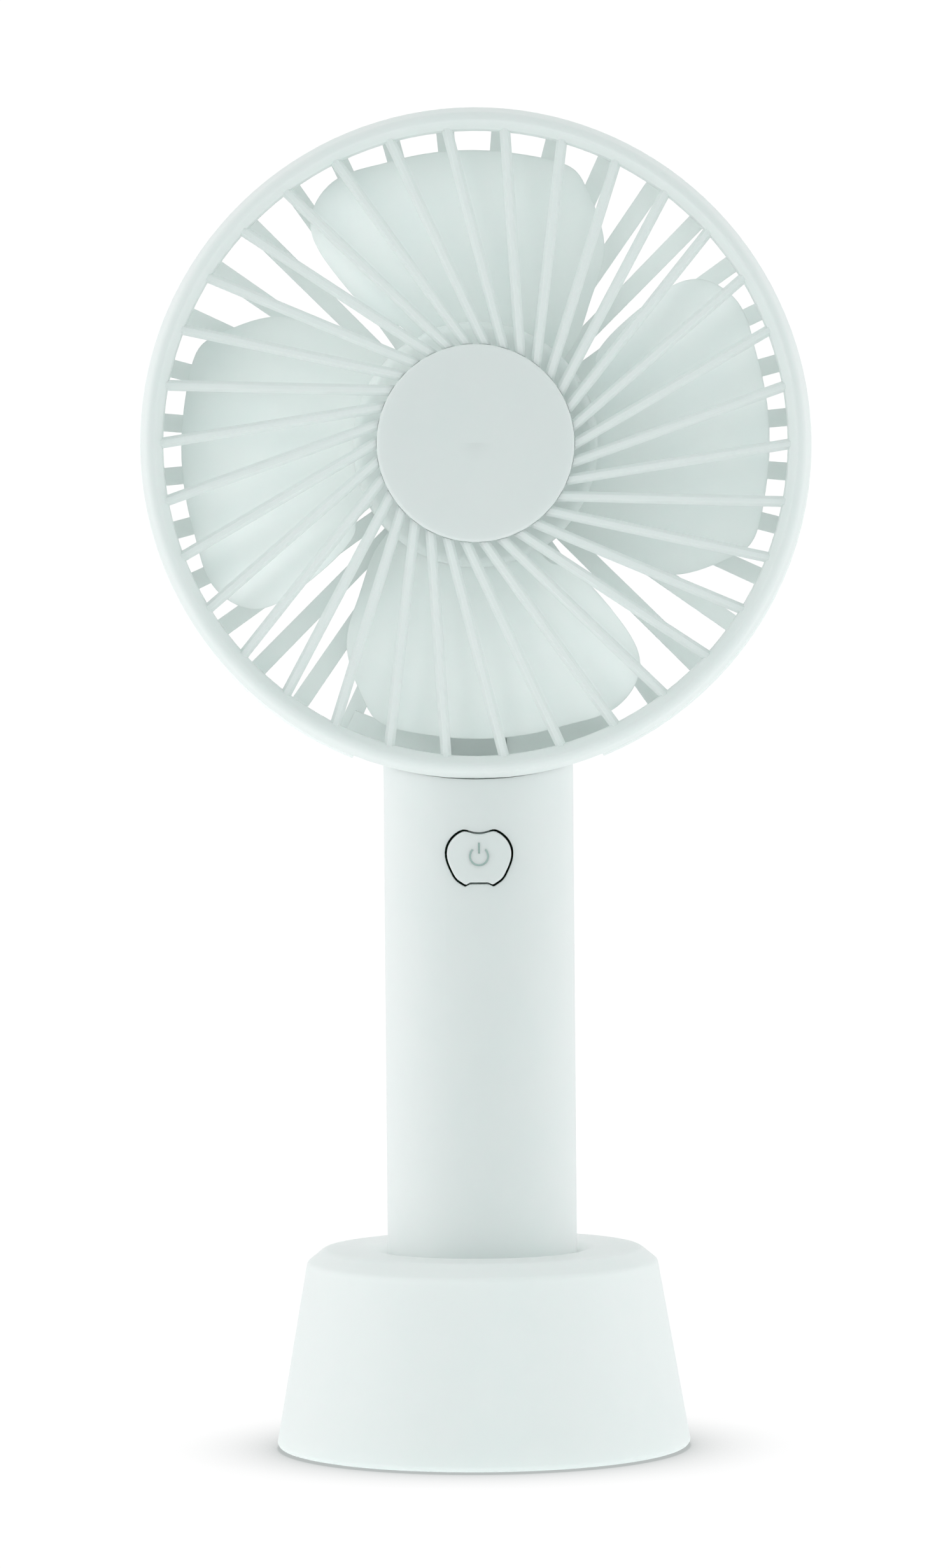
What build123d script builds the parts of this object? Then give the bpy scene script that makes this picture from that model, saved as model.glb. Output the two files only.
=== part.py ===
from build123d import *
import math
import os

# Handheld electric fan in its weighted stand.
# Frame: origin at the centre of the stand's underside, +Z up, the front grille faces -Y.
# All lengths are in millimetres and all angles in degrees.
# Heights on the fan are counted from its own zero level, which is fan_level above the surface.

# ---------------------------------------------------------------- driving dimensions
fan_level = 0.7              # the fan's zero level above the surface the stand rests on
head_height = 154.2          # impeller axis
ring_radius = 51.0           # outside of the grille ring
ring_bore = 49.0             # air duct inside the ring, at the joint of the shells
ring_bore_back = 49.7        # air duct at the back edge
lip_bore = 47.6              # inner edge of the front lip
rib_reach = 50.2             # the rear ribs end inside the ring's wall
rebate_radius = 50.2         # step joint between the two ring halves
collar_radius = 49.45        # collar on which the front grille turns
collar_bore = 48.4
collar_front = 10.8
skirt_bore = 49.7            # inside of the grille's skirt round the collar
groove_radius = 48.85        # bottom of the locking grooves
lug_angles = (40, 130, 220, 310)
lug_half_angle = 4.0
lug_bottom = 7.4             # depth at which the four locking lugs start
lug_height = 1.2
grille_turn = 15.0           # from locked to free
seam = 0.08                  # half of the visible gap between two shells

# Depths along the impeller axis, counted forwards from the handle's axis
ring_front = 17.4            # crest of the front ring
twist_face = 6.0             # face on which the front grille turns
ring_back = -13.0            # rearmost point of the ring
hub_cap_face = 17.4          # edge of the centre disc's front face
cup_front = -8.2             # open rim of the motor cup
cup_back = -22.4             # apex of the domed back

front_rib_count = 34
front_rib_offset = 7.7       # distance by which each front rib misses the axis
front_rib_start = 19.3       # direction of the first front rib
rear_rib_count = 36
rear_rib_start = 5.0
hub_disc_radius = 15.0       # plain disc in the middle of the front grille
cap_peg_circle = 9.0         # three pegs hold the disc
cap_peg_angles = (90, 210, 330)

cup_radius = 19.0            # motor cup at the back
cup_bore = 17.3
rim_radius = 51.9            # raised rim of the rear housing
rim_gap_half_angle = 22.0    # the raised rim stops this far from the handle's axis
chin_radius = 45.1           # inner edge of the filled sector above the handle
chin_reach = 50.0            # its outer end, inside the ring's wall
chin_half_angle = 25.0
chin_face = -7.2
channel_half_width = 3.0     # wire channel below the motor
channel_wall = 1.3
channel_front = -8.2
channel_back = -11.8

blade_count = 4
hub_radius = 18.8            # impeller hub
hub_front = 8.6
hub_wall = 1.5
hub_boss_radius = 3.2
hub_back = -7.0
blade_tip_radius = 45.2
blade_thickness = 1.3
blade_lead = 9.5             # axial advance of the blade surface per radian
blade_middle = 1.6           # depth of the blade surface at its middle direction
blade_tilt_centre = 85.0     # direction at which the blade surface is at its middle depth

handle_radius = 14.65
handle_bore = 12.85
handle_bottom = 5.0          # underside of the end cap while the fan stands in its stand
handle_start = 8.0           # lower edge of the two shells
saddle_radius = 51.08        # top of the handle where it clears the turning grille
saddle_ceiling = 53.0        # inner top of the handle, measured from the impeller axis

button_height = 91.1         # centre of the power button
button_gap = 0.34            # visible gap round the button
button_proud = 0.25

# Heights on the stand are counted from the surface
stand_height = 30.9
stand_bottom_radius = 32.1
stand_shoulder_radius = 27.15
stand_shoulder_height = 28.8
stand_top_radius = 24.55
stand_wall = 2.1
socket_radius = 14.9
socket_wall = 1.85
socket_floor = handle_bottom + fan_level
foot_height = 0.25           # the rubber ring lifts the shell by this much
foot_inner = 25.6            # rubber ring
foot_outer = 28.6
foot_thickness = 1.6
base_bottom = 0.8            # base plate
base_top = 3.2
ballast_radius = 26.6
ballast_top = 11.8
stand_screw_circle = 22.6
stand_screw_angles = (45, 135, 225, 315)

# Motor, measured along the impeller axis like the depths above
shaft_radius = 1.0
bush_bore = 1.03
bush_radius = 2.6
bush_length = 4.0
tube_radius = 3.7
core_radius = 11.5
core_arm_count = 6
magnet_bore = 11.9
yoke_bore = 13.5
yoke_radius = 14.5
yoke_front = 6.6
shaft_front = 8.2
shaft_back = -16.6
tube_front = 4.6             # front end of the bearing tube
bracket_back = -15.0
motor_screw_circle = 14.3
motor_screw_angles = (30, 150, 270)
board_post_angles = (90, 210, 330)

# Electronics in the handle
board_front = -3.2           # front face of the circuit board, counted forwards
board_back = -4.8
board_bottom = 79.4
board_top = 95.4
board_half_width = 11.0
cell_radius = 9.2
cell_bottom = 8.9
cell_length = 65.0
usb_height = 84.6
usb_half_width = 4.47
usb_half_height = 1.63
housing_screws_at = ((0.0, 76.75), (-7.0, 98.8), (7.0, 98.8))
board_screws_at = ((-9.0, 82.4), (9.0, 82.4))
wire_radius = 0.6

# Looking from the front: X to the right, Y up, Z towards the viewer
front_view = Plane(origin=(0, 0, 0), x_dir=(1, 0, 0), z_dir=(0, -1, 0))
head_view = Plane(origin=(0, 0, head_height), x_dir=(1, 0, 0), z_dir=(0, -1, 0))


# ---------------------------------------------------------------- helpers
def rounded(points, rounds=()):
    """Closed outline through points; rounds lists (corner number, radius)."""
    outline = Polygon(*points, align=None)
    for number, radius in rounds:
        x, y = points[number]
        outline = fillet(outline.vertices().sort_by_distance((x, y, 0))[0], radius)
    return outline


def turned(points, rounds=()):
    """Body of revolution about Z from an outline of (radius, height) points."""
    return revolve(Plane.XZ * rounded(points, rounds), Axis.Z)


def tube(outer, inner, low, high):
    """Ring-shaped solid about Z between two heights."""
    return turned([(inner, low), (outer, low), (outer, high), (inner, high)])


def rod(radius, low, high, x=0.0, y=0.0):
    """Round bar parallel to Z between two heights."""
    bar = Cylinder(radius, high - low, align=(Align.CENTER, Align.CENTER, Align.MIN))
    return Pos(x, y, low) * bar


def block(x_low, x_high, y_low, y_high, z_low, z_high):
    """Rectangular block between two corners."""
    body = Box(x_high - x_low, y_high - y_low, z_high - z_low, align=Align.MIN)
    return Pos(x_low, y_low, z_low) * body


def polar(radius, angle):
    """Point at a radius and an angle."""
    turn = math.radians(angle)
    return (radius * math.cos(turn), radius * math.sin(turn))


def sector(radius, centre_angle, half_angle, low, high):
    """Wedge about Z, out to a radius, between two heights."""
    reach = radius / math.cos(math.radians(half_angle))
    first = polar(reach, centre_angle - half_angle)
    last = polar(reach, centre_angle + half_angle)
    return Pos(0, 0, low) * extrude(Polygon((0, 0), first, last, align=None), high - low)


def screw(head_radius, head_rise, shank_radius, length):
    """Self-tapping screw along -Z: seat at zero, head above it, cross recess in the head."""
    tip_length = 1.2
    head = rod(head_radius, 0, head_rise)
    head = fillet(head.edges().group_by(Axis.Z)[-1], head_rise * 0.35)
    upright = (Align.CENTER, Align.CENTER, Align.MIN)
    tip = Pos(0, 0, -length) * Cone(0.15, shank_radius, tip_length, align=upright)
    shank = rod(shank_radius, tip_length - length, 0)
    arm = head_radius * 0.55
    slot = head_radius * 0.14
    recess = head_rise * 0.45
    cross = block(-arm, arm, -slot, slot, recess, head_rise + 1)
    cross += block(-slot, slot, -arm, arm, recess, head_rise + 1)
    return head + shank + tip - cross


def wire(points, bend):
    """Round insulated wire along straight runs joined by bends of one radius."""
    path = FilletPolyline(*points, radius=bend)
    start = Plane(origin=path @ 0, z_dir=path % 0)
    return sweep(start * Circle(wire_radius), path=path)


# ---------------------------------------------------------------- stand
def stand_shell():
    """Truncated cone with a bevelled top, a blind round socket and four screw bosses."""
    sleeve = socket_radius + socket_wall
    under_top = stand_height - stand_wall
    slope = (stand_bottom_radius - stand_shoulder_radius) / (stand_shoulder_height - foot_height)
    inner_top = under_top - 1.7
    inner_top_radius = stand_bottom_radius - stand_wall - slope * (inner_top - foot_height)
    floor = socket_floor - 1.6
    points = [
        (stand_bottom_radius, foot_height),
        (stand_shoulder_radius, stand_shoulder_height),
        (stand_top_radius, stand_height),
        (socket_radius, stand_height),
        (socket_radius, socket_floor),
        (0, socket_floor),
        (0, floor),
        (sleeve, floor),
        (sleeve, under_top),
        (stand_top_radius - 1.0, under_top),
        (inner_top_radius, inner_top),
        (stand_bottom_radius - stand_wall, foot_height),
    ]
    shell = turned(points, [(0, 0.8), (1, 1.2), (2, 1.4), (3, 2.4), (7, 0.8)])
    for angle in stand_screw_angles:
        x, y = polar(stand_screw_circle, angle)
        shell += rod(2.6, base_top, under_top + 0.4, x, y)
        shell -= rod(1.0, base_top - 0.2, 15.0, x, y)
    return shell


def stand_base():
    """Round plate that closes the underside, grooved for the rubber ring."""
    plate = tube(stand_bottom_radius - stand_wall - 0.7, 0, base_bottom, base_top)
    plate = fillet(plate.edges().filter_by(GeomType.CIRCLE).sort_by(Axis.Z)[0], 0.5)
    plate -= tube(foot_outer + 0.1, foot_inner - 0.1, 0, foot_thickness)
    for angle in stand_screw_angles:
        x, y = polar(stand_screw_circle, angle)
        plate -= rod(1.25, 0, base_top + 1, x, y)
        plate -= rod(2.3, 0, base_bottom + 1.2, x, y)
    return plate


def stand_foot_ring():
    """Anti-slip ring under the stand."""
    ring = tube(foot_outer, foot_inner, 0, foot_thickness)
    low_edges = ring.edges().filter_by(GeomType.CIRCLE).group_by(Axis.Z)[0]
    return chamfer(low_edges, 0.3)


def stand_ballast():
    """Steel ring that keeps the stand upright."""
    ring = tube(ballast_radius, socket_radius + socket_wall + 0.3, base_top + 0.1, ballast_top)
    for angle in stand_screw_angles:
        x, y = polar(stand_screw_circle, angle)
        ring -= rod(2.9, base_top, ballast_top + 1, x, y)
    return ring


def stand_screws():
    """Four screws driven upwards through the base plate."""
    pieces = []
    for angle in stand_screw_angles:
        x, y = polar(stand_screw_circle, angle)
        seat = Pos(x, y, base_bottom + 1.2) * Rot(180, 0, 0)
        pieces.append(seat * screw(2.0, 1.1, 0.95, 11.0))
    return pieces


# ---------------------------------------------------------------- handle (upright frame)
def handle_tube():
    """Whole handle: a tube that ends in a saddle under the ring."""
    top = head_height - 30
    solid = rod(handle_radius, handle_start, top)
    bore = rod(handle_bore, handle_start - 1, top + 1)
    reach = 3 * handle_radius
    clearing = head_view * rod(saddle_radius, twist_face - seam, reach)
    joining = head_view * rod(ring_radius - 0.6, -reach, twist_face - seam)
    ceiling = head_view * rod(saddle_ceiling, -reach, reach)
    return solid - clearing - joining - (bore - ceiling)


def handle_inside():
    """Room inside the handle, reaching slightly into its wall: bosses are cut to it."""
    above = head_view * rod(saddle_ceiling - 0.4, -40, 40)
    return rod(handle_bore + 0.6, 0, head_height) - above


def cradle(front):
    """Three half ribs that hold the battery in one shell."""
    ribs = []
    for height in (18.0, 40.0, 62.0):
        rib = tube(handle_bore + 0.5, cell_radius + 0.15, height, height + 1.5)
        rib &= block(-handle_radius, handle_radius, 3.5, handle_radius, height, height + 1.5)
        ribs.append(Rot(0, 0, 180) * rib if front else rib)
    return ribs


def button_outline(grow=0.0):
    """Soft outline with two lobes above and two below, grown by about the same gap all round."""
    half_width = 4.9
    half_lobe_height = 4.05
    top = (0, 3.66)
    bottom = (0, -3.68)
    side = [
        (2.25, half_lobe_height),
        (3.95, 3.0),
        (half_width, 0.6),
        (4.05, -2.1),
        (2.8, -3.6),
        (1.8, -half_lobe_height),
    ]
    curve = Spline(top, *side, bottom, tangents=[(1, 0), (-1, 0)])
    steps = 20
    right = [curve @ (number / steps) for number in range(1, steps)]
    right = [(point.X, point.Y) for point in right]
    left = [(-x, y) for x, y in reversed(right)]
    across = 1 + grow / half_width
    upright = 1 + grow / half_lobe_height
    grown = [(x * across, y * upright) for x, y in [top] + right + [bottom] + left]
    return Pos(0, button_height) * make_face(Spline(*grown, periodic=True))


# ---------------------------------------------------------------- head (front-view frame)
def front_ring_frame():
    """Front half of the ring with the collar that carries the grille."""
    ring = tube(ring_radius, ring_bore, seam, twist_face)
    collar = tube(collar_radius, collar_bore, twist_face - 1.0, collar_front)
    tongue = tube(rebate_radius, ring_bore + 0.4, -1.3, seam + 0.5)
    frame = ring + collar + tongue
    low = lug_bottom - 0.2
    high = lug_bottom + lug_height + 0.2
    half = lug_half_angle + 0.5
    for centre in lug_angles:
        groove = tube(skirt_bore, groove_radius, low, high)
        groove &= sector(60, centre + grille_turn / 2, half + grille_turn / 2, low, high)
        entry = tube(skirt_bore, groove_radius, low, collar_front + 1)
        entry &= sector(60, centre + grille_turn, half, low, collar_front + 1)
        frame -= groove + entry
    return frame


def front_housing():
    """Front shell: ring frame, and the front half of the handle with its screw bosses."""
    shell = head_view * front_ring_frame()
    shell += handle_tube() & block(-20, 20, -20, -seam, 0, head_height)
    inside = handle_inside()
    for x, height in housing_screws_at:
        shell += front_view * rod(2.3, 0.5, handle_radius, x, height) & inside
    shell += cradle(front=True)
    for x, height in housing_screws_at:
        shell -= front_view * rod(0.85, -1, 10.3, x, height)
    shell -= front_view * (Pos(0, 0, 10) * extrude(button_outline(button_gap), 8))
    return shell


def rear_ring():
    """Rear half of the ring with its rounded back and the raised rim."""
    points = [
        (ring_bore, -seam),
        (ring_radius, -seam),
        (ring_radius, -6.0),
        (ring_bore_back + 0.9, ring_back),
        (ring_bore_back, ring_back),
    ]
    ring = turned(points, [(2, 12.0), (3, 0.6), (4, 0.2)])
    under_rim = ring_radius - 0.5
    rim_points = [(under_rim, -seam), (rim_radius, -seam), (rim_radius, -3.0), (under_rim, -4.4)]
    rim = turned(rim_points, [(1, 0.3), (2, 0.6)])
    rim -= sector(60, 270, rim_gap_half_angle, -5, 1)
    rebate = tube(rebate_radius + 0.12, collar_bore, -1.5, 1)
    return ring + rim - rebate


def rear_ribs():
    """Radial ribs between the ring and the motor cup, slightly dished."""
    inner = cup_bore + 0.8
    outline = Polygon((inner, -1.25), (rib_reach, -1.4), (rib_reach, 1.4), (inner, 1.25), align=None)
    band = turned([(inner, -12.2), (rib_reach, -9.8), (rib_reach, -12.4), (inner, -15.2)])
    bar = band & (Pos(0, 0, -20) * extrude(outline, 14))
    step = 360 / rear_rib_count
    return [Rot(0, 0, rear_rib_start + step * number) * bar for number in range(rear_rib_count)]


def motor_cup():
    """Cup behind the motor with a domed back and three screw bosses."""
    wall_end = -17.6
    points = [
        (cup_bore, cup_front),
        (cup_radius, cup_front),
        (cup_radius, wall_end),
        (14.6, -21.2),
        (6.0, cup_back),
        (0, cup_back),
        (0, -20.4),
        (6.0, -20.3),
        (13.4, -19.4),
        (cup_bore, -16.8),
    ]
    cup = turned(points, [(1, 0.4), (2, 3.0), (3, 9.0), (8, 3.0)])
    for angle in motor_screw_angles:
        x, y = polar(motor_screw_circle, angle)
        cup += rod(2.2, -19.6, -15.1, x, y)
    for angle in motor_screw_angles:
        x, y = polar(motor_screw_circle, angle)
        cup -= rod(0.88, -18.8, -15, x, y)
    return cup


def rear_head():
    """Ring, ribs, motor cup, filled chin and wire channel as one moulding."""
    head = rear_ring() + rear_ribs() + motor_cup()
    chin = tube(chin_reach, chin_radius, -12.6, chin_face)
    chin = fillet(chin.edges().filter_by(GeomType.CIRCLE).sort_by(SortBy.RADIUS)[0:1], 0.4)
    head += chin & sector(60, 270, chin_half_angle, -14, -6)
    arm_half = channel_half_width + channel_wall
    head += block(-arm_half, arm_half, -chin_reach, -cup_bore - 0.5, ring_back, channel_front)
    slot = arm_half + 0.15
    head -= block(-slot, slot, -ring_bore, -cup_radius, channel_front, channel_front + 3)
    half = channel_half_width
    head -= block(-half, half, -saddle_ceiling - 2, -cup_bore + 1, channel_back, channel_front + 1)
    return head


def rear_housing():
    """Rear shell: rear head and the rear half of the handle."""
    shell = head_view * rear_head()
    half = handle_tube() & block(-20, 20, seam, 20, 0, head_height)
    channel_foot = head_height - saddle_ceiling - 3
    width = channel_half_width
    half -= block(-width, width, -channel_front, -channel_back, channel_foot, head_height - 40)
    shell += half
    inside = handle_inside()
    for x, height in housing_screws_at:
        shell += front_view * rod(2.5, -handle_radius, -0.6, x, height) & inside
    for x, height in board_screws_at:
        shell += front_view * rod(1.7, -handle_radius, board_back - 0.05, x, height) & inside
    shell += cradle(front=False)
    for x, height in housing_screws_at:
        shell -= front_view * rod(1.1, -20, 1, x, height)
        shell -= front_view * rod(2.0, -20, -9.5, x, height)
    for x, height in board_screws_at:
        shell -= front_view * rod(0.72, -8.4, 0, x, height)
    port_width = 2 * usb_half_width + 0.7
    port_height = 2 * usb_half_height + 0.7
    port = RectangleRounded(port_width, port_height, port_height / 2 - 0.15)
    shell -= front_view * (Pos(0, usb_height, -16) * extrude(port, 5))
    return shell


def wire_cover():
    """Strip that closes the wire channel in front of the motor leads."""
    half = channel_half_width + channel_wall
    strip = block(-half, half, -ring_bore + 0.15, -cup_radius - 0.15, channel_front + 0.02, chin_face)
    edge = channel_half_width - 0.08
    for low, high in ((-edge, -2.1), (2.1, edge)):
        strip += block(low, high, -44, -23, channel_front - 0.9, channel_front + 0.5)
    return head_view * strip


# ---------------------------------------------------------------- front grille
def front_rib():
    """One front rib along X: a low bar with a narrow crest."""
    inner = 9.0
    outer = math.sqrt((lip_bore + 0.8) ** 2 - front_rib_offset**2)
    section = [(-0.82, 0), (0.82, 0), (0.82, 0.7), (0.36, 2.2), (-0.36, 2.2), (-0.82, 0.7)]
    start = Plane(origin=(inner, 0, 14.6), x_dir=(0, 1, 0), z_dir=(1, 0, 0))
    end = Plane(origin=(outer, 0, 13.6), x_dir=(0, 1, 0), z_dir=(1, 0, 0))
    return loft([start * Polygon(*section, align=None), end * Polygon(*section, align=None)])


def front_grille():
    """Front ring with twisted straight ribs, a hub plate and four locking lugs."""
    points = [
        (skirt_bore, twist_face + seam),
        (ring_radius, twist_face + seam),
        (ring_radius, 14.2),
        (49.9, ring_front),
        (48.7, ring_front - 0.2),
        (lip_bore, 15.4),
        (lip_bore, collar_front + 0.2),
        (skirt_bore, collar_front + 0.2),
    ]
    grille = turned(points, [(1, 0.25), (2, 2.2), (3, 1.1), (4, 0.5), (5, 0.35)])
    grille += tube(14.6, 0, 13.8, 15.4)
    rib = front_rib()
    ribs = []
    for number in range(front_rib_count):
        angle = front_rib_start + 360 / front_rib_count * number
        x, y = polar(front_rib_offset, angle - 90)
        ribs.append(Pos(x, y, 0) * Rot(0, 0, angle) * rib)
    grille += ribs
    grille -= rod(hub_disc_radius + 0.06, 15.4, 20)
    for angle in cap_peg_angles:
        x, y = polar(cap_peg_circle, angle)
        grille -= rod(1.25, 10, 20, x, y)
    lug_ring = tube(skirt_bore + 0.5, groove_radius + 0.1, lug_bottom, lug_bottom + lug_height)
    for centre in lug_angles:
        grille += lug_ring & sector(60, centre, lug_half_angle, lug_bottom, lug_bottom + lug_height)
    return head_view * grille


def hub_cap():
    """Plain, faintly domed disc in the middle of the grille, with three pegs."""
    dome = 0.45
    sphere = (hub_disc_radius**2 + dome**2) / (2 * dome)
    edge = (hub_disc_radius, hub_cap_face)
    crown = (0, hub_cap_face + dome)
    under = 15.42
    face = RadiusArc(edge, crown, -sphere)
    sides = Polyline(crown, (0, under), (hub_disc_radius, under), edge)
    outline = make_face([face, sides])
    outline = fillet(outline.vertices().sort_by_distance((*edge, 0))[0], 0.5)
    disc = revolve(Plane.XZ * outline, Axis.Z)
    for angle in cap_peg_angles:
        x, y = polar(cap_peg_circle, angle)
        disc += rod(1.2, 13.9, under + 0.2, x, y)
    return head_view * disc


# ---------------------------------------------------------------- impeller and motor
def blade_outline():
    """Front view of one blade that points upwards, from inside the hub to the tip."""
    tip_left = polar(blade_tip_radius, 106.5)
    tip_middle = polar(blade_tip_radius, 94.0)
    tip_right = polar(blade_tip_radius, 82.5)
    tip = ThreePointArc(tip_right, tip_middle, tip_left)
    left = Spline(
        tip_left,
        (-21.4, 40.3),
        (-24.9, 34.4),
        (-21.9, 27.1),
        (-12.8, 18.4),
        (-9.0, 15.6),
        tangents=[polar(1, 196.5), (0.6, -0.8)],
    )
    right = Spline(
        (13.0, 12.2),
        (15.3, 15.4),
        (18.1, 22.6),
        (20.2, 30.5),
        (17.5, 39.4),
        tip_right,
        tangents=[(0.5, 0.87), polar(1, 172.5)],
    )
    return make_face([tip, left, Line((-9.0, 15.6), (13.0, 12.2)), right])


def blade():
    """One pitched blade: a thickened helical surface trimmed to the outline."""
    rows = []
    for radial in range(9):
        radius = 10.0 + 4.6 * radial
        row = []
        for step in range(13):
            angle = 25 + 10 * step
            turn = math.radians(angle - blade_tilt_centre)
            camber = 0.9 * (1 - (turn / 0.7) ** 2)
            x, y = polar(radius, angle)
            row.append(Vector(x, y, blade_middle + blade_lead * turn + camber))
        rows.append(row)
    surface = Face.make_surface_from_array_of_points(rows)
    slab = Solid.thicken(surface, blade_thickness / 2) + Solid.thicken(surface, -blade_thickness / 2)
    return slab & (Pos(0, 0, -15) * extrude(blade_outline(), 40))


def impeller():
    """Hub with four blades, a collar for the rotor and a boss for the shaft."""
    under = hub_front - hub_wall
    points = [
        (0, hub_front),
        (hub_radius, hub_front),
        (hub_radius, hub_back),
        (hub_radius - hub_wall, hub_back),
        (hub_radius - hub_wall, under),
        (0, under),
    ]
    hub = turned(points, [(1, 1.4), (2, 0.3), (4, 0.6)])
    one = blade() - rod(hub_radius - 0.7, -20, 20)
    for number in range(blade_count):
        hub += Rot(0, 0, 360 / blade_count * number) * one
    hub += tube(yoke_radius + 1.3, yoke_radius + 0.02, -2, under + 0.1)
    hub += rod(hub_boss_radius, tube_front + 0.4, under + 0.1)
    hub -= rod(shaft_radius + 0.01, tube_front, shaft_front + 0.1)
    return head_view * hub


def rotor_yoke():
    """Steel cup that carries the magnet ring."""
    hole = hub_boss_radius + 0.1
    sheet = yoke_radius - yoke_bore
    points = [
        (hole, yoke_front),
        (yoke_radius, yoke_front),
        (yoke_radius, -6),
        (yoke_bore, -6),
        (yoke_bore, yoke_front - sheet),
        (hole, yoke_front - sheet),
    ]
    return head_view * turned(points, [(1, 1.0), (4, 0.4)])


def magnet_ring():
    """Ring magnet inside the yoke."""
    return head_view * tube(yoke_bore - 0.01, magnet_bore, -5, 5)


def motor_shaft():
    """Steel shaft with a groove for its clip."""
    shaft = chamfer(rod(shaft_radius, shaft_back, shaft_front).edges().filter_by(GeomType.CIRCLE), 0.2)
    return head_view * (shaft - tube(2, 0.75, -15.65, -15.25))


def shaft_clip():
    """Spring clip that keeps the shaft in its bushes."""
    ring = tube(2.3, 0.78, -15.6, -15.3)
    return head_view * (ring - block(0, 3, -0.6, 0.6, -16, -15))


def shaft_bushes():
    """Two plain bearings in the ends of the bearing tube."""
    front_end = tube_front - 0.1
    rear_end = bracket_back + 0.2
    front = tube(bush_radius - 0.01, bush_bore, front_end - bush_length, front_end)
    rear = tube(bush_radius - 0.01, bush_bore, rear_end, rear_end + bush_length)
    return [head_view * front, head_view * rear]


def motor_bracket():
    """Mounting plate with the bearing tube and three posts for the motor board."""
    plate = tube(16.9, bush_radius, bracket_back, -13.5)
    bracket = plate + tube(tube_radius, bush_radius, bracket_back, tube_front)
    for angle in motor_screw_angles:
        x, y = polar(motor_screw_circle, angle)
        bracket -= rod(1.1, -16, -13, x, y)
    for angle in board_post_angles:
        x, y = polar(10.0, angle)
        bracket += rod(1.3, -13.6, -9.52, x, y)
    return head_view * bracket


def motor_board():
    """Round board under the windings."""
    return head_view * (tube(12.0, tube_radius + 0.2, -9.5, -8.3) - block(-1, 1, 11, 13, -10, -8))


def driver_chip():
    """Motor driver on the round board."""
    return head_view * block(6.4, 10.0, -1.8, 1.8, -8.28, -7.3)


def motor_screws():
    """Three screws that hold the motor bracket in the cup."""
    pieces = []
    for angle in motor_screw_angles:
        x, y = polar(motor_screw_circle, angle)
        pieces.append(head_view * Pos(x, y, -13.5) * screw(1.8, 1.2, 0.84, 4.8))
    return pieces


def stator_core():
    """Laminated core: hub ring and six arms with curved pole heads."""
    core = tube(5.6, tube_radius + 0.05, -4.5, 3.5)
    for number in range(core_arm_count):
        angle = 360 / core_arm_count * number
        core += Rot(0, 0, angle) * block(5.3, 10.6, -1.0, 1.0, -4.5, 3.5)
        core += tube(core_radius, 10.2, -4.5, 3.5) & sector(20, angle, 24, -5, 4)
    return head_view * core


def stator_coils():
    """Six copper windings, one round each arm."""
    pieces = []
    winding = block(6.1, 9.9, -2.4, 2.4, -6.0, 5.0)
    winding = fillet(winding.edges().filter_by(Axis.X), 0.9)
    winding -= block(5, 11, -1.05, 1.05, -4.55, 3.55)
    for number in range(core_arm_count):
        pieces.append(head_view * Rot(0, 0, 360 / core_arm_count * number) * winding)
    return pieces


# ---------------------------------------------------------------- button, board and battery
def power_button():
    """Key cap that follows the handle, with a power symbol, two stop tabs and a stem."""
    outline = button_outline()
    cap = Pos(0, 0, 11.0) * extrude(outline, 6)
    face_radius = handle_radius + button_proud
    skin = tube(face_radius, 11.9, 60, 120)
    button = (front_view * cap) & skin
    front_edges = button.edges().filter_by(lambda edge: abs(radius_of(edge) - face_radius) < 0.01)
    button = fillet(front_edges, 0.3)
    tabs = Pos(0, 0, 8) * extrude(button_outline(0.9) & Pos(0, button_height) * Rectangle(3.2, 20), 6)
    tabs = (front_view * tabs) & tube(handle_bore - 0.2, 11.5, 60, 120)
    stem = front_view * rod(1.6, 1.1, 12.4, 0, button_height)
    symbol_centre = button_height + 0.33
    ring = tube(1.52, 1.24, 0, 1) - sector(3, 90, 43, 0, 1)
    bar = block(-0.14, 0.14, 0.4, 2.05, 0, 1)
    symbol = Pos(0, symbol_centre, face_radius - 0.25) * (ring + bar)
    return button + tabs + stem - front_view * symbol


def radius_of(edge):
    """Largest distance of an edge's ends and middle from the handle's axis."""
    distances = [math.hypot((edge @ t).X, (edge @ t).Y) for t in (0, 0.5, 1)]
    return max(distances) if max(distances) - min(distances) < 0.01 else 0.0


def switch_plunger():
    """Moving tip of the switch behind the button."""
    return front_view * rod(1.7, -0.8, 1.08, 0, button_height)


def tact_switch():
    """Fixed body of the switch on the front of the board."""
    body = block(-3.0, 3.0, button_height - 3.0, button_height + 3.0, board_front + 0.02, 0.1)
    body = chamfer(body.edges().filter_by(Axis.Z), 0.4)
    return front_view * (body - rod(1.75, -1.5, 1, 0, button_height))


def main_board():
    """Circuit board across the middle of the handle."""
    board = block(-board_half_width, board_half_width, board_bottom, board_top, board_back, board_front)
    for x, height in board_screws_at:
        board -= rod(0.8, board_back - 1, board_front + 1, x, height)
    return front_view * board


def board_components():
    """Charging chip, choke and capacitors on the board."""
    back = board_back - 0.02
    front = board_front + 0.02
    parts = [
        block(-2.4, 2.4, 80.6, 85.4, front, front + 1.4),
        block(-9.2, -4.2, 88.4, 93.4, back - 2.6, back),
        block(4.6, 6.6, 88.6, 89.8, back - 0.9, back),
        block(4.6, 6.6, 91.0, 92.2, back - 0.9, back),
        block(-7.6, -6.0, 89.0, 90.0, front, front + 0.8),
    ]
    return [front_view * part for part in parts]


def indicator_led():
    """Charge light beside the switch."""
    return front_view * block(4.6, 6.2, 90.6, 91.6, board_front + 0.02, board_front + 0.8)


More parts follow.
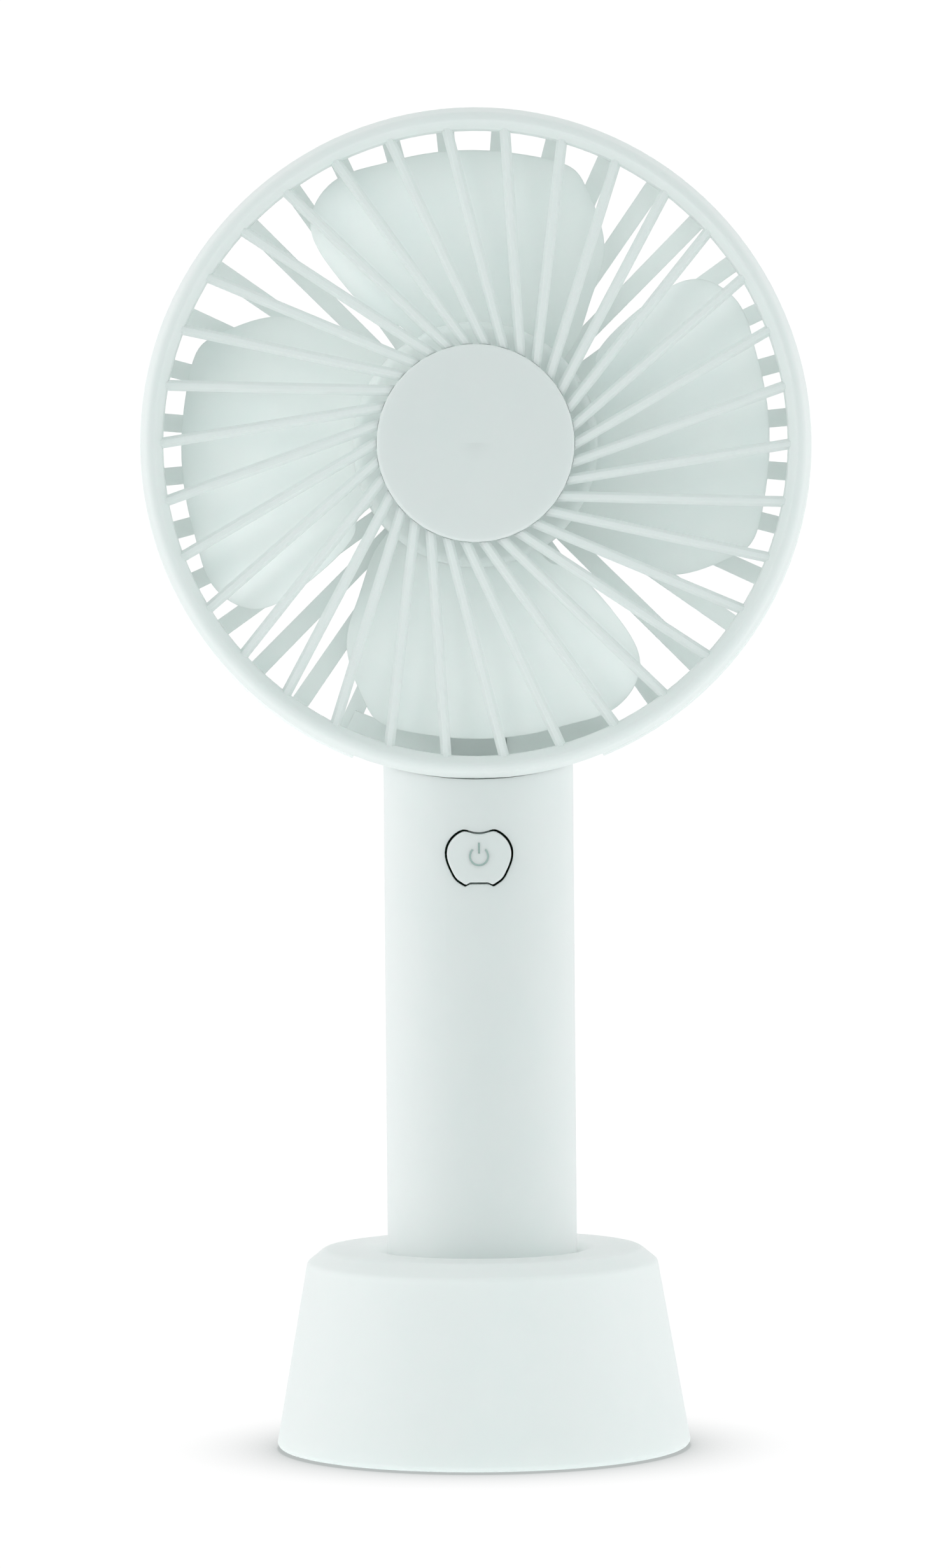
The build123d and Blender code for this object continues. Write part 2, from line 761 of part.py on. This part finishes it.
def board_screws():
    """Two screws that hold the board to the rear shell."""
    pieces = []
    for x, height in board_screws_at:
        pieces.append(front_view * Pos(x, height, board_front) * screw(1.5, 0.9, 0.7, 4.6))
    return pieces


def usb_socket():
    """Charging socket whose mouth opens through the back of the handle."""
    depth = 8.8
    back = board_back - 0.02
    outer = RectangleRounded(2 * usb_half_width, 2 * usb_half_height, usb_half_height - 0.01)
    inner = RectangleRounded(2 * usb_half_width - 0.6, 2 * usb_half_height - 0.6, usb_half_height - 0.32)
    shell = extrude(outer, depth) - Pos(0, 0, -1) * extrude(inner, depth - 0.5)
    tongue = block(-3.3, 3.3, -0.35, 0.35, 1.2, depth - 0.9)
    return front_view * Pos(0, usb_height, back - depth) * (shell + tongue)


def battery_cell():
    """Cylindrical lithium cell with a shrunk sleeve."""
    cell = rod(cell_radius, cell_bottom, cell_bottom + cell_length)
    return fillet(cell.edges().filter_by(GeomType.CIRCLE), 0.6)


def battery_tabs():
    """Nickel strips on both ends of the cell."""
    top = cell_bottom + cell_length
    lower = block(-9.6, 2.5, -2.5, 2.5, cell_bottom - 0.2, cell_bottom - 0.02)
    lower += block(-9.6, -9.42, -2.5, 2.5, cell_bottom - 0.2, cell_bottom + 5)
    upper = block(-2.5, 8.6, -2.5, 2.5, top + 0.02, top + 0.2)
    return [lower, upper]


def battery_pad():
    """Foam disc under the cell."""
    return rod(9.6, handle_start + 0.02, cell_bottom - 0.22)


def battery_leads():
    """Two wires from the cell to the board."""
    top = cell_bottom + cell_length
    on_board = -board_front - wire_radius - 0.05
    side = cell_radius + 0.25 + wire_radius
    minus_start = (-side - 0.2, 0, 13.2)
    minus_bend = (-side - 0.2, 0, top + 2)
    plus_start = (2.9, 0, top + 0.85)
    plus_bend = (7.4, 0, top + 0.85)
    minus_end = [(-5.2, on_board, board_bottom + 0.1), (-5.2, on_board, board_bottom + 4.6)]
    plus_end = [(5.2, on_board, board_bottom + 0.1), (5.2, on_board, board_bottom + 4.6)]
    minus = wire([minus_start, minus_bend] + minus_end, 1.5)
    plus = wire([plus_start, plus_bend] + plus_end, 1.2)
    return [minus, plus]


def motor_leads():
    """Two wires from the board through the channel to the motor."""
    pieces = []
    depth = 10.15
    on_board = -board_back + wire_radius + 0.05
    for x in (-1.5, 1.5):
        line = [
            (x, on_board, 90.0),
            (x, on_board, 94.5),
            (x, depth, 99.5),
            (x, depth, head_height - 9.5),
        ]
        pieces.append(wire(line, 2.5))
    return pieces


def housing_screws():
    """Three screws that join the two shells from the back."""
    pieces = []
    for x, height in housing_screws_at:
        seat = front_view * Pos(x, height, -9.5) * Rot(180, 0, 0)
        pieces.append(seat * screw(1.8, 1.4, 0.83, 16.0))
    return pieces


def handle_end_cap():
    """Bottom cap whose collar clamps the two shells together."""
    flange = rod(handle_radius, handle_bottom, handle_start - seam)
    flange = fillet(flange.edges().filter_by(GeomType.CIRCLE).sort_by(Axis.Z)[0], 1.0)
    collar = tube(handle_bore - 0.05, 10.4, handle_start - 0.5, 13.0)
    return flange + collar - rod(9.8, handle_start, 9.2)


# ---------------------------------------------------------------- writing
subparts = {
    "dock_shell": stand_shell,
    "dock_base_plate": stand_base,
    "dock_foot_ring": stand_foot_ring,
    "dock_ballast": stand_ballast,
    "dock_screws": stand_screws,
    "front_housing": front_housing,
    "rear_housing": rear_housing,
    "wire_cover": wire_cover,
    "handle_end_cap": handle_end_cap,
    "housing_screws": housing_screws,
    "front_grille": front_grille,
    "hub_cap": hub_cap,
    "impeller": impeller,
    "rotor_yoke": rotor_yoke,
    "magnet_ring": magnet_ring,
    "motor_shaft": motor_shaft,
    "shaft_clip": shaft_clip,
    "shaft_bushes": shaft_bushes,
    "motor_bracket": motor_bracket,
    "motor_screws": motor_screws,
    "motor_board": motor_board,
    "driver_chip": driver_chip,
    "stator_core": stator_core,
    "stator_coils": stator_coils,
    "power_button": power_button,
    "switch_plunger": switch_plunger,
    "tact_switch": tact_switch,
    "main_board": main_board,
    "board_components": board_components,
    "indicator_led": indicator_led,
    "board_screws": board_screws,
    "usb_socket": usb_socket,
    "battery_cell": battery_cell,
    "battery_tabs": battery_tabs,
    "battery_pad": battery_pad,
    "battery_leads": battery_leads,
    "motor_leads": motor_leads,
}

os.makedirs("parts", exist_ok=True)
for name, make in subparts.items():
    made = make()
    level = Pos(0, 0, 0 if name.startswith("dock") else fan_level)
    pieces = [level * piece for piece in (made if isinstance(made, list) else [made])]
    shape = Compound(children=pieces) if len(pieces) > 1 else pieces[0]
    export_step(shape, f"parts/{name}.step")
    print(name, "written")
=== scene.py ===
"""Looks of a handheld electric fan in its stand: materials, engraved symbol's ink, light and camera."""
import math

import bmesh
import bpy
from mathutils import Matrix, Vector

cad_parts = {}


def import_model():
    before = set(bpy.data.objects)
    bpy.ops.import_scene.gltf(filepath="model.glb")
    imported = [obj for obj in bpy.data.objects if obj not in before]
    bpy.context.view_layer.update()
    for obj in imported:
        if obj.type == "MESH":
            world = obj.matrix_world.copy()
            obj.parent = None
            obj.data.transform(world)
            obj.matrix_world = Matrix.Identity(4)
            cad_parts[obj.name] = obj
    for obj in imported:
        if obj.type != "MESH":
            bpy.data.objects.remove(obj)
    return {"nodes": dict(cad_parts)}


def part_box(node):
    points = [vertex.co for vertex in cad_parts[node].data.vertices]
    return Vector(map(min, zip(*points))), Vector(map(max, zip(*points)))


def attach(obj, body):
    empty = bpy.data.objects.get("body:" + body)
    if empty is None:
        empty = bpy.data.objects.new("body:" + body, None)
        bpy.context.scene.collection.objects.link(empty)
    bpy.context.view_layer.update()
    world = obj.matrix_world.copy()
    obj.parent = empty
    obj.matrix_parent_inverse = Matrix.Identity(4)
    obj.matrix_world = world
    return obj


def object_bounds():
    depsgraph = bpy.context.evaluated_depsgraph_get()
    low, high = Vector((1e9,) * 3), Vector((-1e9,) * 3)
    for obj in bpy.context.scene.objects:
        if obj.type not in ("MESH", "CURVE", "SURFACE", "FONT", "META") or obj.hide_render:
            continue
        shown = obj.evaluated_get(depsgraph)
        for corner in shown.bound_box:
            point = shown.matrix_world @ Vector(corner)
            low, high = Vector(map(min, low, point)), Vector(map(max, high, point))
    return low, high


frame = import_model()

cad_low, cad_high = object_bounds()
nodes = frame["nodes"]
scene = bpy.context.scene
MM = 0.001


# ---------------------------------------------------------------- node helpers
def linear(red, green, blue):
    """Scene-linear colour from display values between 0 and 255."""
    def channel(value):
        value /= 255
        return value / 12.92 if value <= 0.04045 else ((value + 0.055) / 1.055) ** 2.4
    return (channel(red), channel(green), channel(blue), 1.0)


def add(tree, kind, inputs=None, **settings):
    """New shader node. An input is a value, or a socket to link from."""
    node = tree.nodes.new(kind)
    for key, value in settings.items():
        setattr(node, key, value)
    for key, value in (inputs or {}).items():
        if isinstance(value, bpy.types.NodeSocket):
            tree.links.new(value, node.inputs[key])
        else:
            node.inputs[key].default_value = value
    return node


def new_material(name):
    """Empty node material with an output; returns (material, tree, output)."""
    material = bpy.data.materials.new(name)
    material.use_nodes = True
    material.node_tree.nodes.clear()
    output = add(material.node_tree, "ShaderNodeOutputMaterial")
    return material, material.node_tree, output


def noise(tree, size, detail=2.0, stretch=(1, 1, 1)):
    """Noise with features of about the given size in metres, fixed to the piece."""
    coordinates = add(tree, "ShaderNodeTexCoord").outputs["Object"]
    mapping = add(tree, "ShaderNodeMapping", {"Vector": coordinates, "Scale": stretch})
    inputs = {"Vector": mapping.outputs["Vector"], "Scale": 1 / size, "Detail": detail}
    return add(tree, "ShaderNodeTexNoise", inputs).outputs["Fac"]


def ramp(tree, value, low, high, start=0.3, end=0.7):
    """Maps a value between start and end to the range from low to high."""
    inputs = {"Value": value, "From Min": start, "From Max": end, "To Min": low, "To Max": high}
    return add(tree, "ShaderNodeMapRange", inputs).outputs["Result"]


def mix(tree, factor, first, second):
    """Colour between first and second."""
    node = add(tree, "ShaderNodeMix", data_type="RGBA")
    for key, value in ((0, factor), (6, first), (7, second)):
        if isinstance(value, bpy.types.NodeSocket):
            tree.links.new(value, node.inputs[key])
        else:
            node.inputs[key].default_value = value
    return node.outputs[2]


def edge_mask(tree, radius):
    """(softened normal, mask that is 1 on convex and concave edges)."""
    soft = add(tree, "ShaderNodeBevel", {"Radius": radius}, samples=4).outputs["Normal"]
    flat = add(tree, "ShaderNodeNewGeometry").outputs["Normal"]
    same = add(tree, "ShaderNodeVectorMath", {0: soft, 1: flat}, operation="DOT_PRODUCT").outputs["Value"]
    return soft, ramp(tree, same, 1.0, 0.0, 0.8, 0.99)


# ---------------------------------------------------------------- materials
def plastic(name, colour, shade, roughness, grain=0.16 * MM, edge=0.16 * MM, glow=0.7):
    """Moulded satin plastic: fine spark-eroded grain, cloudy tone, a painted highlight along its edges,
    slight translucency.
    """
    material, tree, output = new_material(name)
    soft_normal, edges = edge_mask(tree, edge)
    cloud = noise(tree, 9 * MM, 4.0)
    smear = noise(tree, 2.2 * MM, 3.0)
    tone = mix(tree, ramp(tree, cloud, 0.0, 1.0), colour, shade)
    # Painted highlight: convex and concave edges are mixed towards a paler white.
    tone = mix(tree, ramp(tree, edges, 0.0, 0.35, 0.0, 1.0), tone, linear(250, 252, 251))
    gloss = ramp(tree, smear, roughness - 0.05, roughness + 0.07)
    height = noise(tree, grain, 2.0)
    inputs = {"Strength": 0.22, "Distance": 0.02 * MM, "Height": height, "Normal": soft_normal}
    bump = add(tree, "ShaderNodeBump", inputs).outputs["Normal"]
    inputs = {
        "Base Color": tone,
        "Roughness": gloss,
        "IOR": 1.52,
        "Subsurface Weight": glow,
        "Subsurface Radius": (1.0, 1.1, 1.05),
        "Subsurface Scale": 1.6 * MM,
        "Normal": bump,
    }
    shader = add(tree, "ShaderNodeBsdfPrincipled", inputs)
    tree.links.new(shader.outputs["BSDF"], output.inputs["Surface"])
    return material


def metal(name, colour, dark, roughness, stretch=(1, 1, 12), line=0.25 * MM):
    """Drawn or turned metal: fine streaks, mottled gloss and a painted highlight along its edges."""
    material, tree, output = new_material(name)
    soft_normal, edges = edge_mask(tree, 0.12 * MM)
    streaks = noise(tree, line, 3.0, stretch)
    patch = noise(tree, 3 * MM, 3.0)
    tone = mix(tree, ramp(tree, patch, 0.0, 1.0), colour, dark)
    # Painted highlight: convex and concave edges are mixed towards pale grey.
    tone = mix(tree, ramp(tree, edges, 0.0, 0.5, 0.0, 1.0), tone, (0.9, 0.9, 0.9, 1))
    inputs = {"Strength": 0.25, "Distance": 0.02 * MM, "Height": streaks, "Normal": soft_normal}
    bump = add(tree, "ShaderNodeBump", inputs).outputs["Normal"]
    inputs = {
        "Base Color": tone,
        "Metallic": 1.0,
        "Roughness": ramp(tree, streaks, roughness - 0.08, roughness + 0.1),
        "Normal": bump,
    }
    shader = add(tree, "ShaderNodeBsdfPrincipled", inputs)
    tree.links.new(shader.outputs["BSDF"], output.inputs["Surface"])
    return material


def speckled(name, colour, dark, roughness, size, bump_height=0.03 * MM, metallic=0.0):
    """Rubber, foam, ceramic or sintered material with an even speckle."""
    material, tree, output = new_material(name)
    speck = noise(tree, size, 5.0)
    patch = noise(tree, 12 * size, 2.0)
    tone = mix(tree, ramp(tree, speck, 0.0, 1.0, 0.35, 0.65), colour, dark)
    inputs = {"Strength": 0.5, "Distance": bump_height, "Height": speck}
    bump = add(tree, "ShaderNodeBump", inputs).outputs["Normal"]
    inputs = {
        "Base Color": tone,
        "Metallic": metallic,
        "Roughness": ramp(tree, patch, roughness - 0.06, roughness + 0.08),
        "Normal": bump,
    }
    shader = add(tree, "ShaderNodeBsdfPrincipled", inputs)
    tree.links.new(shader.outputs["BSDF"], output.inputs["Surface"])
    return material


def banded(name, colour, dark, pitch, direction, roughness, metallic=1.0):
    """Stacked sheets or wound wire: fine bands across one direction."""
    material, tree, output = new_material(name)
    coordinates = add(tree, "ShaderNodeTexCoord").outputs["Object"]
    inputs = {"Vector": coordinates, "Scale": 0.314 / pitch, "Distortion": 0.15, "Detail": 1.0}
    wave = add(tree, "ShaderNodeTexWave", inputs, bands_direction=direction).outputs["Fac"]
    tone = mix(tree, wave, dark, colour)
    inputs = {"Strength": 0.6, "Distance": 0.05 * MM, "Height": wave}
    bump = add(tree, "ShaderNodeBump", inputs).outputs["Normal"]
    inputs = {"Base Color": tone, "Metallic": metallic, "Roughness": roughness, "Normal": bump}
    shader = add(tree, "ShaderNodeBsdfPrincipled", inputs)
    tree.links.new(shader.outputs["BSDF"], output.inputs["Surface"])
    return material


def circuit_board(name):
    """Green solder mask with paler tracks under it."""
    material, tree, output = new_material(name)
    coordinates = add(tree, "ShaderNodeTexCoord").outputs["Object"]
    turned = add(tree, "ShaderNodeMapping", {"Vector": coordinates, "Rotation": (math.pi / 2, 0, 0)})
    inputs = {
        "Vector": turned.outputs["Vector"],
        "Color1": (0.0, 0.0, 0.0, 1),
        "Color2": (0.25, 0.25, 0.25, 1),
        "Mortar": (1, 1, 1, 1),
        "Scale": 420.0,
        "Mortar Size": 0.045,
    }
    tracks = add(tree, "ShaderNodeTexBrick", inputs).outputs["Color"]
    grey = add(tree, "ShaderNodeRGBToBW", {"Color": tracks}).outputs["Val"]
    tone = mix(tree, grey, (0.012, 0.11, 0.045, 1), (0.05, 0.26, 0.1, 1))
    inputs = {"Strength": 0.4, "Distance": 0.03 * MM, "Height": grey}
    bump = add(tree, "ShaderNodeBump", inputs).outputs["Normal"]
    gloss = ramp(tree, noise(tree, 1.5 * MM), 0.22, 0.34)
    inputs = {"Base Color": tone, "Roughness": gloss, "Normal": bump}
    shader = add(tree, "ShaderNodeBsdfPrincipled", inputs)
    tree.links.new(shader.outputs["BSDF"], output.inputs["Surface"])
    return material


def lead_sheath(name):
    """Extruded wire sheath: the lead on the left is black, the one on the right is red."""
    material, tree, output = new_material(name)
    coordinates = add(tree, "ShaderNodeTexCoord").outputs["Object"]
    across = add(tree, "ShaderNodeSeparateXYZ", {"Vector": coordinates}).outputs["X"]
    side = add(tree, "ShaderNodeMath", {0: across, 1: 0.0}, operation="GREATER_THAN").outputs["Value"]
    tone = mix(tree, side, (0.012, 0.012, 0.014, 1), (0.42, 0.02, 0.015, 1))
    smear = noise(tree, 0.8 * MM, 3.0)
    tone = mix(tree, ramp(tree, smear, 0.0, 0.2), tone, (0.3, 0.3, 0.3, 1))
    inputs = {"Base Color": tone, "Roughness": ramp(tree, smear, 0.32, 0.48)}
    shader = add(tree, "ShaderNodeBsdfPrincipled", inputs)
    tree.links.new(shader.outputs["BSDF"], output.inputs["Surface"])
    return material


shell_white = linear(247, 250, 249)
shell_cloud = linear(244, 248, 247)
blade_white = linear(247, 250, 248)
blade_cloud = linear(243, 247, 246)

housing = plastic("housing_plastic", shell_white, shell_cloud, 0.42)
grille = plastic("grille_plastic", shell_white, shell_cloud, 0.4, edge=0.1 * MM)
blades = plastic("impeller_plastic", blade_white, blade_cloud, 0.46)
stand = plastic("stand_plastic", shell_white, shell_cloud, 0.44, edge=0.2 * MM)
key = plastic("button_plastic", shell_white, shell_cloud, 0.36, edge=0.12 * MM)
rubber = speckled("foot_rubber", (0.34, 0.35, 0.35, 1), (0.24, 0.25, 0.25, 1), 0.62, 0.12 * MM)
cast_grey = (0.16, 0.16, 0.17, 1)
ballast = speckled("ballast_steel", cast_grey, (0.07, 0.07, 0.075, 1), 0.5, 0.5 * MM, metallic=0.8)
zinc = metal("screw_steel", (0.62, 0.62, 0.64, 1), (0.45, 0.45, 0.48, 1), 0.3)
nickel = metal("bright_steel", (0.7, 0.7, 0.71, 1), (0.55, 0.55, 0.57, 1), 0.26)
strip = metal("nickel_strip", (0.75, 0.72, 0.66, 1), (0.6, 0.58, 0.53, 1), 0.33, stretch=(1, 12, 12))
ferrite = speckled("magnet", (0.05, 0.048, 0.046, 1), (0.025, 0.024, 0.024, 1), 0.55, 0.15 * MM, metallic=0.3)
laminations = banded("core_steel", (0.5, 0.51, 0.53, 1), (0.1, 0.1, 0.11, 1), 0.5 * MM, "Y", 0.4)
copper = banded("winding_copper", (0.62, 0.22, 0.07, 1), (0.2, 0.05, 0.015, 1), 0.3 * MM, "DIAGONAL", 0.3)
bronze = speckled("bush_bronze", (0.48, 0.28, 0.12, 1), (0.3, 0.17, 0.07, 1), 0.42, 0.1 * MM, metallic=0.9)
laminate = circuit_board("board_laminate")
epoxy = speckled("component_plastic", (0.03, 0.03, 0.032, 1), (0.015, 0.015, 0.016, 1), 0.5, 0.08 * MM)
tip = speckled("plunger_plastic", (0.5, 0.09, 0.04, 1), (0.4, 0.07, 0.03, 1), 0.4, 0.2 * MM)
lens = speckled("led_lens", (0.8, 0.78, 0.45, 1), (0.7, 0.68, 0.4, 1), 0.2, 0.3 * MM)
sleeve = speckled("cell_sleeve", (0.03, 0.12, 0.36, 1), (0.025, 0.1, 0.3, 1), 0.28, 1.2 * MM, 0.05 * MM)
foam = speckled("foam", (0.04, 0.04, 0.042, 1), (0.012, 0.012, 0.012, 1), 0.85, 0.35 * MM, 0.25 * MM)
sheath = lead_sheath("lead_sheath")

finish_of = {
    "dock_shell": stand,
    "dock_base_plate": stand,
    "dock_foot_ring": rubber,
    "dock_ballast": ballast,
    "dock_screws": zinc,
    "front_housing": housing,
    "rear_housing": housing,
    "wire_cover": housing,
    "handle_end_cap": housing,
    "housing_screws": zinc,
    "front_grille": grille,
    "hub_cap": grille,
    "impeller": blades,
    "rotor_yoke": nickel,
    "magnet_ring": ferrite,
    "motor_shaft": nickel,
    "shaft_clip": nickel,
    "shaft_bushes": bronze,
    "motor_bracket": nickel,
    "motor_screws": zinc,
    "motor_board": laminate,
    "driver_chip": epoxy,
    "stator_core": laminations,
    "stator_coils": copper,
    "power_button": key,
    "switch_plunger": tip,
    "tact_switch": epoxy,
    "main_board": laminate,
    "board_components": epoxy,
    "indicator_led": lens,
    "board_screws": zinc,
    "usb_socket": nickel,
    "battery_cell": sleeve,
    "battery_tabs": strip,
    "battery_pad": foam,
    "battery_leads": sheath,
    "motor_leads": sheath,
}
for name, material in finish_of.items():
    nodes[name].data.materials.clear()
    nodes[name].data.materials.append(material)


# ---------------------------------------------------------------- added pieces
def piece_from(mesh_builder, name, body, material):
    """New piece whose mesh is filled in by mesh_builder(bmesh); it rides on a body."""
    mesh = bpy.data.meshes.new(name)
    shape = bmesh.new()
    mesh_builder(shape)
    bmesh.ops.recalc_face_normals(shape, faces=shape.faces)
    shape.to_mesh(mesh)
    shape.free()
    piece = bpy.data.objects.new(name, mesh)
    scene.collection.objects.link(piece)
    mesh.materials.append(material)
    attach(piece, body)
    return piece


def strip_along(shape, points, half_width, front, back):
    """Flat-topped bar along points (x, z) in a plane of constant y, between front and back."""
    rings = []
    for index, point in enumerate(points):
        before = points[max(index - 1, 0)]
        after = points[min(index + 1, len(points) - 1)]
        along = Vector((after[0] - before[0], after[1] - before[1])).normalized()
        side = Vector((-along.y, along.x)) * half_width
        corners = []
        for sign, depth in ((-1, front), (1, front), (1, back), (-1, back)):
            place = Vector((point[0] + sign * side.x, depth, point[1] + sign * side.y))
            corners.append(shape.verts.new(place))
        rings.append(corners)
    for first, second in zip(rings, rings[1:]):
        for corner in range(4):
            after = (corner + 1) % 4
            shape.faces.new((first[corner], first[after], second[after], second[corner]))
    shape.faces.new(rings[0])
    shape.faces.new(rings[-1][::-1])


def power_symbol(shape):
    """Open ring with a bar at its top, sunk into the button's engraved groove."""
    centre = 92.13 * MM
    below_face = 0.12 * MM
    thickness = 0.1 * MM
    half_line = 0.13 * MM
    bar_start = 0.42 * MM
    bar_length = 1.6 * MM
    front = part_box("power_button")[0].y + below_face
    back = front + thickness
    radius = 1.38 * MM
    turns = [math.radians(90 + 44 + (360 - 88) * step / 40) for step in range(41)]
    ring = [(radius * math.cos(turn), centre + radius * math.sin(turn)) for turn in turns]
    strip_along(shape, ring, half_line, front, back)
    bar = [(0.0, centre + bar_start + bar_length * step / 4) for step in range(5)]
    strip_along(shape, bar, half_line, front, back)


ink = speckled("symbol_ink", linear(188, 207, 203), linear(180, 200, 196), 0.5, 0.08 * MM)
piece_from(power_symbol, "power_symbol", "button", ink)


# ---------------------------------------------------------------- floor, light and camera
def floor():
    """Pale round floor that glows faintly. The camera sees white, shaded by closeness to the stand."""
    radius = 0.45
    clearance = 0.02 * MM
    glow = 0.2
    shade_reach = 26 * MM
    shade_power = 1.6
    open_floor = (1.03, 1.03, 1.03, 1)
    at_contact = (0.48, 0.51, 0.505, 1)
    mesh = bpy.data.meshes.new("floor")
    shape = bmesh.new()
    bmesh.ops.create_circle(shape, cap_ends=True, segments=96, radius=radius)
    shape.to_mesh(mesh)
    shape.free()
    sheet = bpy.data.objects.new("floor", mesh)
    sheet.location.z = cad_low.z - clearance
    scene.collection.objects.link(sheet)
    material, tree, output = new_material("floor_white")
    grain = ramp(tree, noise(tree, 0.05, 2.0), 0.0, 1.0)
    tone = mix(tree, grain, (0.96, 0.97, 0.97, 1), (0.94, 0.95, 0.95, 1))
    matt = add(tree, "ShaderNodeBsdfDiffuse", {"Color": tone})
    lift = add(tree, "ShaderNodeEmission", {"Color": (0.95, 1.0, 0.99, 1), "Strength": glow})
    lit = add(tree, "ShaderNodeAddShader", {0: matt.outputs["BSDF"], 1: lift.outputs["Emission"]})
    openness = add(tree, "ShaderNodeAmbientOcclusion", {"Distance": shade_reach}, samples=16).outputs["AO"]
    hidden = ramp(tree, openness, 1.0, 0.0, 0.5, 1.0)
    falloff = add(tree, "ShaderNodeMath", {0: hidden, 1: shade_power}, operation="POWER").outputs["Value"]
    tone = mix(tree, falloff, open_floor, at_contact)
    plain = add(tree, "ShaderNodeEmission", {"Color": tone, "Strength": 1.0})
    seen = add(tree, "ShaderNodeLightPath").outputs["Is Camera Ray"]
    inputs = {0: seen, 1: lit.outputs["Shader"], 2: plain.outputs["Emission"]}
    shader = add(tree, "ShaderNodeMixShader", inputs)
    tree.links.new(shader.outputs["Shader"], output.inputs["Surface"])
    mesh.materials.append(material)


def world():
    """White studio: bright at the sides, dimmer elsewhere and coolest in front, white to the camera."""
    studio = bpy.data.worlds.new("studio")
    scene.world = studio
    studio.use_nodes = True
    tree = studio.node_tree
    tree.nodes.clear()
    direction = add(tree, "ShaderNodeTexCoord").outputs["Generated"]
    parts = add(tree, "ShaderNodeSeparateXYZ", {"Vector": direction})
    across = ramp(tree, parts.outputs["X"], 0.0, 1.0, -1.0, 1.0)
    sides = mix(tree, across, (1.38, 1.38, 1.38, 1), (1.2, 1.23, 1.23, 1))
    front = ramp(tree, parts.outputs["Y"], 1.0, 0.0, -1.0, 0.0)
    tone = mix(tree, front, sides, (0.29, 0.405, 0.385, 1))
    behind = ramp(tree, parts.outputs["Y"], 0.0, 1.0, 0.1, 0.8)
    tone = mix(tree, behind, tone, (0.95, 0.98, 0.98, 1))
    above = ramp(tree, parts.outputs["Z"], 0.0, 1.0, 0.3, 1.0)
    tone = mix(tree, above, tone, (0.6, 0.64, 0.63, 1))
    below = ramp(tree, parts.outputs["Z"], 1.0, 0.0, -0.25, 0.05)
    tone = mix(tree, below, tone, (0.75, 0.8, 0.79, 1))
    seen = add(tree, "ShaderNodeLightPath").outputs["Is Camera Ray"]
    tone = mix(tree, seen, tone, (1.05, 1.05, 1.05, 1))
    back = add(tree, "ShaderNodeBackground", {"Color": tone, "Strength": 1.0})
    output = add(tree, "ShaderNodeOutputWorld")
    tree.links.new(back.outputs["Background"], output.inputs["Surface"])


def softbox(name, place, target, width, height, power):
    """White rectangular area light that points at target."""
    data = bpy.data.lights.new(name, "AREA")
    data.shape = "RECTANGLE"
    data.size = width
    data.size_y = height
    data.energy = power
    lamp = bpy.data.objects.new(name, data)
    lamp.location = place
    lamp.rotation_euler = (Vector(target) - Vector(place)).to_track_quat("-Z", "Y").to_euler()
    scene.collection.objects.link(lamp)
    return lamp


def only_on(lamp, names):
    """Makes a lamp reach only the named nodes. Everything still casts a shadow in its light."""
    lit = bpy.data.collections.new(lamp.name + "_lit")
    for name in names:
        lit.objects.link(nodes[name])
    lamp.light_linking.receiver_collection = lit


def camera():
    """Long-lens camera in front of the fan, a little below the head, tipped down slightly."""
    distance = 0.975
    eye_height = 0.1337
    down = math.radians(1.824)
    roll = math.radians(0.5)
    view_height = math.radians(14.16)
    data = bpy.data.cameras.new("camera")
    data.lens = data.sensor_width / 2 / math.tan(view_height / 2)
    data.clip_start = 0.05
    data.clip_end = 50
    eye = bpy.data.objects.new("camera", data)
    place = Matrix.Translation((-0.0006, -distance, eye_height))
    eye.matrix_world = place @ Matrix.Rotation(math.pi / 2 - down, 4, "X") @ Matrix.Rotation(-roll, 4, "Z")
    scene.collection.objects.link(eye)
    scene.camera = eye


floor()
world()
upper_handle = (0, 0, 0.12)
impeller_centre = (0, 0, 0.155)
softbox("left_box", (-0.9, -0.35, 0.45), upper_handle, 0.5, 1.0, 0.6)
softbox("right_box", (0.9, -0.35, 0.4), upper_handle, 0.5, 1.0, 0.3)
blade_fill = softbox("blade_fill", (-0.4, -0.65, 0.4), impeller_centre, 0.5, 0.5, 2.2)
only_on(blade_fill, ["impeller", "rear_housing"])
rib_fill = softbox("rib_fill", (0.2, -0.8, 0.15), impeller_centre, 0.5, 0.5, 0.9)
only_on(rib_fill, ["rear_housing"])
stand_fill = softbox("stand_fill", (0.15, -0.7, 0.0), (0, 0, 0.01), 0.4, 0.1, 0.65)
only_on(stand_fill, ["dock_shell"])
camera()
scene.view_settings.view_transform = "Standard"
scene.cycles.diffuse_bounces = 8
